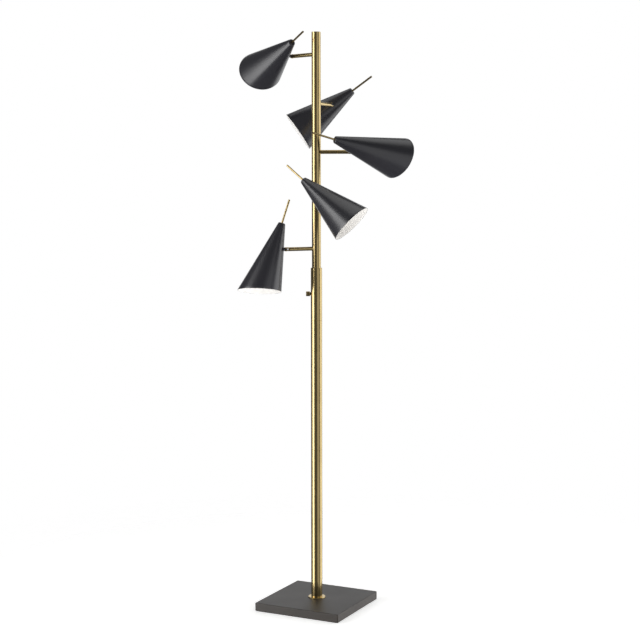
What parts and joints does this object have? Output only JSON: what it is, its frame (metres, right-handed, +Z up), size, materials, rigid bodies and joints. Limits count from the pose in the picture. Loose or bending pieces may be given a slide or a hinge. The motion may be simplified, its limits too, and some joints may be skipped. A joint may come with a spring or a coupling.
{
  "type": "floor lamp",
  "caption": "Tree floor lamp: a weighted square base, a brass pole with a rotary switch, and black cone shades on short arms that spin, tilt and turn for aiming.",
  "frame": {"origin": "on the floor, under the middle of the square base", "axes": "+Z up along the pole, +X and +Y square to the base's sides, the cord inlet at the back on +Y"},
  "size_m": [0.5751, 0.388, 1.78],
  "materials": {
    "satin_brass": "satin antique",
    "shade_paint": "satin black, white inside",
    "knuckle_paint": "satin black",
    "base_paint": "satin black",
    "weight_iron": "as cast",
    "pad_felt": "felt",
    "fixing_steel": "zinc plated",
    "phenolic": "moulded",
    "bushing_nylon": "moulded"
  },
  "bodies": {
    "stand": {"base_pad": "pad_felt", "base_weight": "weight_iron", "base_cover": "base_paint", "cord_bushing": "bushing_nylon", "fixing_rod": "fixing_steel", "fixing_washer": "fixing_steel", "fixing_nut": "fixing_steel", "pole_collar": "satin_brass", "lower_pole_bottom": "satin_brass", "lower_pole_middle": "satin_brass", "lower_pole_upper": "satin_brass", "pole_couplers": "fixing_steel", "switch_tube": "satin_brass", "pole_reducer": "satin_brass", "upper_pole": "satin_brass", "top_cap": "satin_brass", "rotary_switch": "phenolic", "arm_tube_1": "satin_brass", "arm_tube_2": "satin_brass", "arm_tube_3": "satin_brass", "arm_tube_4": "satin_brass", "arm_tube_5": "satin_brass"},
    "knob": {"switch_knob": "satin_brass"},
    "sleeve_1": {"swivel_sleeve_1": "satin_brass", "knuckle_pin_1": "satin_brass"},
    "knuckle_1": {"knuckle_1": "knuckle_paint", "shade_nut_1": "fixing_steel"},
    "shade_1": {"shade_1": "shade_paint", "lampholder_1": "phenolic", "aim_rod_1": "satin_brass"},
    "sleeve_2": {"swivel_sleeve_2": "satin_brass", "knuckle_pin_2": "satin_brass"},
    "knuckle_2": {"knuckle_2": "knuckle_paint", "shade_nut_2": "fixing_steel"},
    "shade_2": {"shade_2": "shade_paint", "lampholder_2": "phenolic", "aim_rod_2": "satin_brass"},
    "sleeve_3": {"swivel_sleeve_3": "satin_brass", "knuckle_pin_3": "satin_brass"},
    "knuckle_3": {"knuckle_3": "knuckle_paint", "shade_nut_3": "fixing_steel"},
    "shade_3": {"shade_3": "shade_paint", "lampholder_3": "phenolic", "aim_rod_3": "satin_brass"},
    "sleeve_4": {"swivel_sleeve_4": "satin_brass", "knuckle_pin_4": "satin_brass"},
    "knuckle_4": {"knuckle_4": "knuckle_paint", "shade_nut_4": "fixing_steel"},
    "shade_4": {"shade_4": "shade_paint", "lampholder_4": "phenolic", "aim_rod_4": "satin_brass"},
    "sleeve_5": {"swivel_sleeve_5": "satin_brass", "knuckle_pin_5": "satin_brass"},
    "knuckle_5": {"knuckle_5": "knuckle_paint", "shade_nut_5": "fixing_steel"},
    "shade_5": {"shade_5": "shade_paint", "lampholder_5": "phenolic", "aim_rod_5": "satin_brass"}
  },
  "joints": [
    {"name": "head_1_spin", "type": "hinge", "parent": "stand", "child": "sleeve_1", "pos_m": [-0.09891, 0.03214, 1.713], "axis": [-0.9511, 0.309, 0], "range_deg": [-100, 40]},
    {"name": "head_1_tilt", "type": "hinge", "parent": "sleeve_1", "child": "knuckle_1", "pos_m": [-0.09891, 0.03214, 1.713], "axis": [0.0737, 0.2269, 0.9711], "range_deg": [-70, 20]},
    {"name": "head_1_turn", "type": "hinge", "parent": "knuckle_1", "child": "shade_1", "pos_m": [-0.09891, 0.03214, 1.713], "axis": [-0.7913, -0.5793, 0.1954], "range_deg": [-140, 140]},
    {"name": "head_2_spin", "type": "hinge", "parent": "stand", "child": "sleeve_2", "pos_m": [0, 0.104, 1.5655], "axis": [0, 1, 0], "range_deg": [-170, 170]},
    {"name": "head_2_tilt", "type": "hinge", "parent": "sleeve_2", "child": "knuckle_2", "pos_m": [0, 0.104, 1.5655], "axis": [-0.1736, 0, 0.9848], "range_deg": [-70, 45]},
    {"name": "head_2_turn", "type": "hinge", "parent": "knuckle_2", "child": "shade_2", "pos_m": [0, 0.104, 1.5655], "axis": [-0.424, 0.9026, -0.0748], "range_deg": [-140, 140]},
    {"name": "head_3_spin", "type": "hinge", "parent": "stand", "child": "sleeve_3", "pos_m": [0.09891, 0.03214, 1.418], "axis": [0.9511, 0.309, 0], "range_deg": [-45, 95]},
    {"name": "head_3_tilt", "type": "hinge", "parent": "sleeve_3", "child": "knuckle_3", "pos_m": [0.09891, 0.03214, 1.418], "axis": [-0.175, 0.5387, 0.8241], "range_deg": [-45, 80]},
    {"name": "head_3_turn", "type": "hinge", "parent": "knuckle_3", "child": "shade_3", "pos_m": [0.09891, 0.03214, 1.418], "axis": [0.8886, -0.2741, 0.3679], "range_deg": [-140, 140]},
    {"name": "head_4_spin", "type": "hinge", "parent": "stand", "child": "sleeve_4", "pos_m": [0.06113, -0.08414, 1.2705], "axis": [0.5878, -0.809, 0], "range_deg": [-170, 70]},
    {"name": "head_4_tilt", "type": "hinge", "parent": "sleeve_4", "child": "knuckle_4", "pos_m": [0.06113, -0.08414, 1.2705], "axis": [0.7062, 0.5131, 0.4879], "range_deg": [-65, 75]},
    {"name": "head_4_turn", "type": "hinge", "parent": "knuckle_4", "child": "shade_4", "pos_m": [0.06113, -0.08414, 1.2705], "axis": [0.4073, -0.858, 0.3128], "range_deg": [-140, 140]},
    {"name": "head_5_spin", "type": "hinge", "parent": "stand", "child": "sleeve_5", "pos_m": [-0.06113, -0.08414, 1.123], "axis": [-0.5878, -0.809, 0], "range_deg": [-170, 170]},
    {"name": "head_5_tilt", "type": "hinge", "parent": "sleeve_5", "child": "knuckle_5", "pos_m": [-0.06113, -0.08414, 1.123], "axis": [-0.0085, 0.0062, -0.9999], "range_deg": [-100, 35]},
    {"name": "head_5_turn", "type": "hinge", "parent": "knuckle_5", "child": "shade_5", "pos_m": [-0.06113, -0.08414, 1.123], "axis": [-0.9848, -0.1737, 0.0073], "range_deg": [-140, 140]},
    {"name": "switch_turn", "type": "hinge", "parent": "stand", "child": "knob", "pos_m": [-0.02281, -0.01162, 0.9835], "axis": [-0.891, -0.454, 0], "continuous": true}
  ]
}
